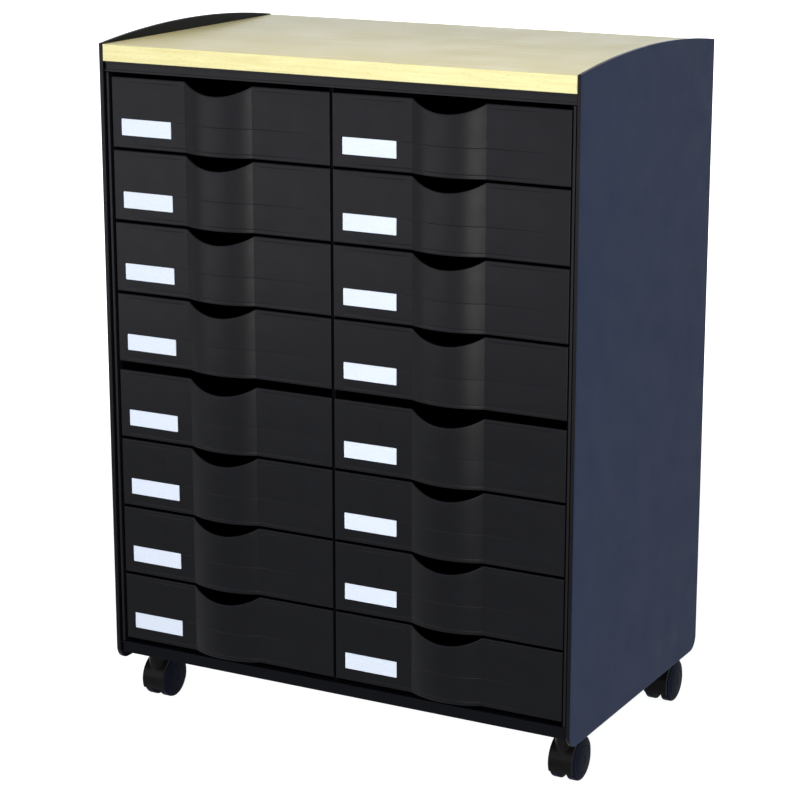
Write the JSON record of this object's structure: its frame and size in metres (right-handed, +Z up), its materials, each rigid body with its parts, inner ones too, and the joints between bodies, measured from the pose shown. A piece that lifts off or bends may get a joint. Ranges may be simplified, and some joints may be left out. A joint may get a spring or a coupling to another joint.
{
  "type": "mobile drawer unit",
  "caption": "Office storage unit on swivel casters: two columns of shallow drawers with bulged, scooped fronts and label cards, between crowned side panels under a wooden top board.",
  "frame": {"origin": "on the floor under the middle of the unit's box, wheels and drawer bulges included", "axes": "+Z up; the drawer fronts face -Y; +X to the right as seen from the front; drawers open towards -Y"},
  "size_m": [0.6, 0.3754, 0.8139],
  "materials": {
    "drawer_charcoal": "satin moulded polystyrene, charcoal",
    "slate_panel": "fine matt slate blue",
    "frame_black": "semi-matt black coating",
    "back_board": "black-lacquered hardboard",
    "module_black": "matt black moulded housing",
    "beech_board": "pale beech, satin",
    "label_card": "white card behind a clear film",
    "caster_black": "black nylon with a light sheen",
    "zinc_steel": "bright zinc plating"
  },
  "bodies": {
    "carcass": {"base_frame": "frame_black", "frame_upright_left": "frame_black", "frame_upright_right": "frame_black", "top_frame": "frame_black", "back_panel": "back_board", "side_panel_left": "slate_panel", "side_panel_right": "slate_panel", "top_board": "beech_board", "module_lower_left": "module_black", "module_lower_right": "module_black", "module_upper_left": "module_black", "module_upper_right": "module_black", "caster_front_left_stem": "zinc_steel", "caster_front_right_stem": "zinc_steel", "caster_rear_left_stem": "zinc_steel", "caster_rear_right_stem": "zinc_steel"},
    "drawer_left_1": {"drawer_left_1": "drawer_charcoal", "label_left_1": "label_card"},
    "drawer_left_2": {"drawer_left_2": "drawer_charcoal", "label_left_2": "label_card"},
    "drawer_left_3": {"drawer_left_3": "drawer_charcoal", "label_left_3": "label_card"},
    "drawer_left_4": {"drawer_left_4": "drawer_charcoal", "label_left_4": "label_card"},
    "drawer_left_5": {"drawer_left_5": "drawer_charcoal", "label_left_5": "label_card"},
    "drawer_left_6": {"drawer_left_6": "drawer_charcoal", "label_left_6": "label_card"},
    "drawer_left_7": {"drawer_left_7": "drawer_charcoal", "label_left_7": "label_card"},
    "drawer_left_8": {"drawer_left_8": "drawer_charcoal", "label_left_8": "label_card"},
    "drawer_right_1": {"drawer_right_1": "drawer_charcoal", "label_right_1": "label_card"},
    "drawer_right_2": {"drawer_right_2": "drawer_charcoal", "label_right_2": "label_card"},
    "drawer_right_3": {"drawer_right_3": "drawer_charcoal", "label_right_3": "label_card"},
    "drawer_right_4": {"drawer_right_4": "drawer_charcoal", "label_right_4": "label_card"},
    "drawer_right_5": {"drawer_right_5": "drawer_charcoal", "label_right_5": "label_card"},
    "drawer_right_6": {"drawer_right_6": "drawer_charcoal", "label_right_6": "label_card"},
    "drawer_right_7": {"drawer_right_7": "drawer_charcoal", "label_right_7": "label_card"},
    "drawer_right_8": {"drawer_right_8": "drawer_charcoal", "label_right_8": "label_card"},
    "caster_front_left_swivel_body": {"caster_front_left_hood": "caster_black"},
    "caster_front_left_wheel_left": {"caster_front_left_wheel_left": "caster_black"},
    "caster_front_left_wheel_right": {"caster_front_left_wheel_right": "caster_black"},
    "caster_front_right_swivel_body": {"caster_front_right_hood": "caster_black"},
    "caster_front_right_wheel_left": {"caster_front_right_wheel_left": "caster_black"},
    "caster_front_right_wheel_right": {"caster_front_right_wheel_right": "caster_black"},
    "caster_rear_left_swivel_body": {"caster_rear_left_hood": "caster_black"},
    "caster_rear_left_wheel_left": {"caster_rear_left_wheel_left": "caster_black"},
    "caster_rear_left_wheel_right": {"caster_rear_left_wheel_right": "caster_black"},
    "caster_rear_right_swivel_body": {"caster_rear_right_hood": "caster_black"},
    "caster_rear_right_wheel_left": {"caster_rear_right_wheel_left": "caster_black"},
    "caster_rear_right_wheel_right": {"caster_rear_right_wheel_right": "caster_black"}
  },
  "joints": [
    {"name": "drawer_left_1_slide", "type": "slide", "parent": "carcass", "child": "drawer_left_1", "axis": [0, -1, 0], "range_m": [0, 0.25]},
    {"name": "drawer_left_2_slide", "type": "slide", "parent": "carcass", "child": "drawer_left_2", "axis": [0, -1, 0], "range_m": [0, 0.25]},
    {"name": "drawer_left_3_slide", "type": "slide", "parent": "carcass", "child": "drawer_left_3", "axis": [0, -1, 0], "range_m": [0, 0.25]},
    {"name": "drawer_left_4_slide", "type": "slide", "parent": "carcass", "child": "drawer_left_4", "axis": [0, -1, 0], "range_m": [0, 0.25]},
    {"name": "drawer_left_5_slide", "type": "slide", "parent": "carcass", "child": "drawer_left_5", "axis": [0, -1, 0], "range_m": [0, 0.25]},
    {"name": "drawer_left_6_slide", "type": "slide", "parent": "carcass", "child": "drawer_left_6", "axis": [0, -1, 0], "range_m": [0, 0.25]},
    {"name": "drawer_left_7_slide", "type": "slide", "parent": "carcass", "child": "drawer_left_7", "axis": [0, -1, 0], "range_m": [0, 0.25]},
    {"name": "drawer_left_8_slide", "type": "slide", "parent": "carcass", "child": "drawer_left_8", "axis": [0, -1, 0], "range_m": [0, 0.25]},
    {"name": "drawer_right_1_slide", "type": "slide", "parent": "carcass", "child": "drawer_right_1", "axis": [0, -1, 0], "range_m": [0, 0.25]},
    {"name": "drawer_right_2_slide", "type": "slide", "parent": "carcass", "child": "drawer_right_2", "axis": [0, -1, 0], "range_m": [0, 0.25]},
    {"name": "drawer_right_3_slide", "type": "slide", "parent": "carcass", "child": "drawer_right_3", "axis": [0, -1, 0], "range_m": [0, 0.25]},
    {"name": "drawer_right_4_slide", "type": "slide", "parent": "carcass", "child": "drawer_right_4", "axis": [0, -1, 0], "range_m": [0, 0.25]},
    {"name": "drawer_right_5_slide", "type": "slide", "parent": "carcass", "child": "drawer_right_5", "axis": [0, -1, 0], "range_m": [0, 0.25]},
    {"name": "drawer_right_6_slide", "type": "slide", "parent": "carcass", "child": "drawer_right_6", "axis": [0, -1, 0], "range_m": [0, 0.25]},
    {"name": "drawer_right_7_slide", "type": "slide", "parent": "carcass", "child": "drawer_right_7", "axis": [0, -1, 0], "range_m": [0, 0.25]},
    {"name": "drawer_right_8_slide", "type": "slide", "parent": "carcass", "child": "drawer_right_8", "axis": [0, -1, 0], "range_m": [0, 0.25]},
    {"name": "caster_front_left_swivel", "type": "hinge", "parent": "carcass", "child": "caster_front_left_swivel_body", "pos_m": [-0.2725, -0.13473, 0.07], "axis": [0, 0, 1], "continuous": true},
    {"name": "caster_front_left_wheel_left_spin", "type": "hinge", "parent": "caster_front_left_swivel_body", "child": "caster_front_left_wheel_left", "pos_m": [-0.2725, -0.12073, 0.0245], "axis": [1, 0, 0], "continuous": true},
    {"name": "caster_front_left_wheel_right_spin", "type": "hinge", "parent": "caster_front_left_swivel_body", "child": "caster_front_left_wheel_right", "pos_m": [-0.2725, -0.12073, 0.0245], "axis": [1, 0, 0], "continuous": true},
    {"name": "caster_front_right_swivel", "type": "hinge", "parent": "carcass", "child": "caster_front_right_swivel_body", "pos_m": [0.2725, -0.13473, 0.07], "axis": [0, 0, 1], "continuous": true},
    {"name": "caster_front_right_wheel_left_spin", "type": "hinge", "parent": "caster_front_right_swivel_body", "child": "caster_front_right_wheel_left", "pos_m": [0.2725, -0.12073, 0.0245], "axis": [1, 0, 0], "continuous": true},
    {"name": "caster_front_right_wheel_right_spin", "type": "hinge", "parent": "caster_front_right_swivel_body", "child": "caster_front_right_wheel_right", "pos_m": [0.2725, -0.12073, 0.0245], "axis": [1, 0, 0], "continuous": true},
    {"name": "caster_rear_left_swivel", "type": "hinge", "parent": "carcass", "child": "caster_rear_left_swivel_body", "pos_m": [-0.2725, 0.14012, 0.07], "axis": [0, 0, 1], "continuous": true},
    {"name": "caster_rear_left_wheel_left_spin", "type": "hinge", "parent": "caster_rear_left_swivel_body", "child": "caster_rear_left_wheel_left", "pos_m": [-0.2725, 0.15413, 0.0245], "axis": [1, 0, 0], "continuous": true},
    {"name": "caster_rear_left_wheel_right_spin", "type": "hinge", "parent": "caster_rear_left_swivel_body", "child": "caster_rear_left_wheel_right", "pos_m": [-0.2725, 0.15413, 0.0245], "axis": [1, 0, 0], "continuous": true},
    {"name": "caster_rear_right_swivel", "type": "hinge", "parent": "carcass", "child": "caster_rear_right_swivel_body", "pos_m": [0.2725, 0.14012, 0.07], "axis": [0, 0, 1], "continuous": true},
    {"name": "caster_rear_right_wheel_left_spin", "type": "hinge", "parent": "caster_rear_right_swivel_body", "child": "caster_rear_right_wheel_left", "pos_m": [0.2725, 0.15413, 0.0245], "axis": [1, 0, 0], "continuous": true},
    {"name": "caster_rear_right_wheel_right_spin", "type": "hinge", "parent": "caster_rear_right_swivel_body", "child": "caster_rear_right_wheel_right", "pos_m": [0.2725, 0.15413, 0.0245], "axis": [1, 0, 0], "continuous": true}
  ]
}
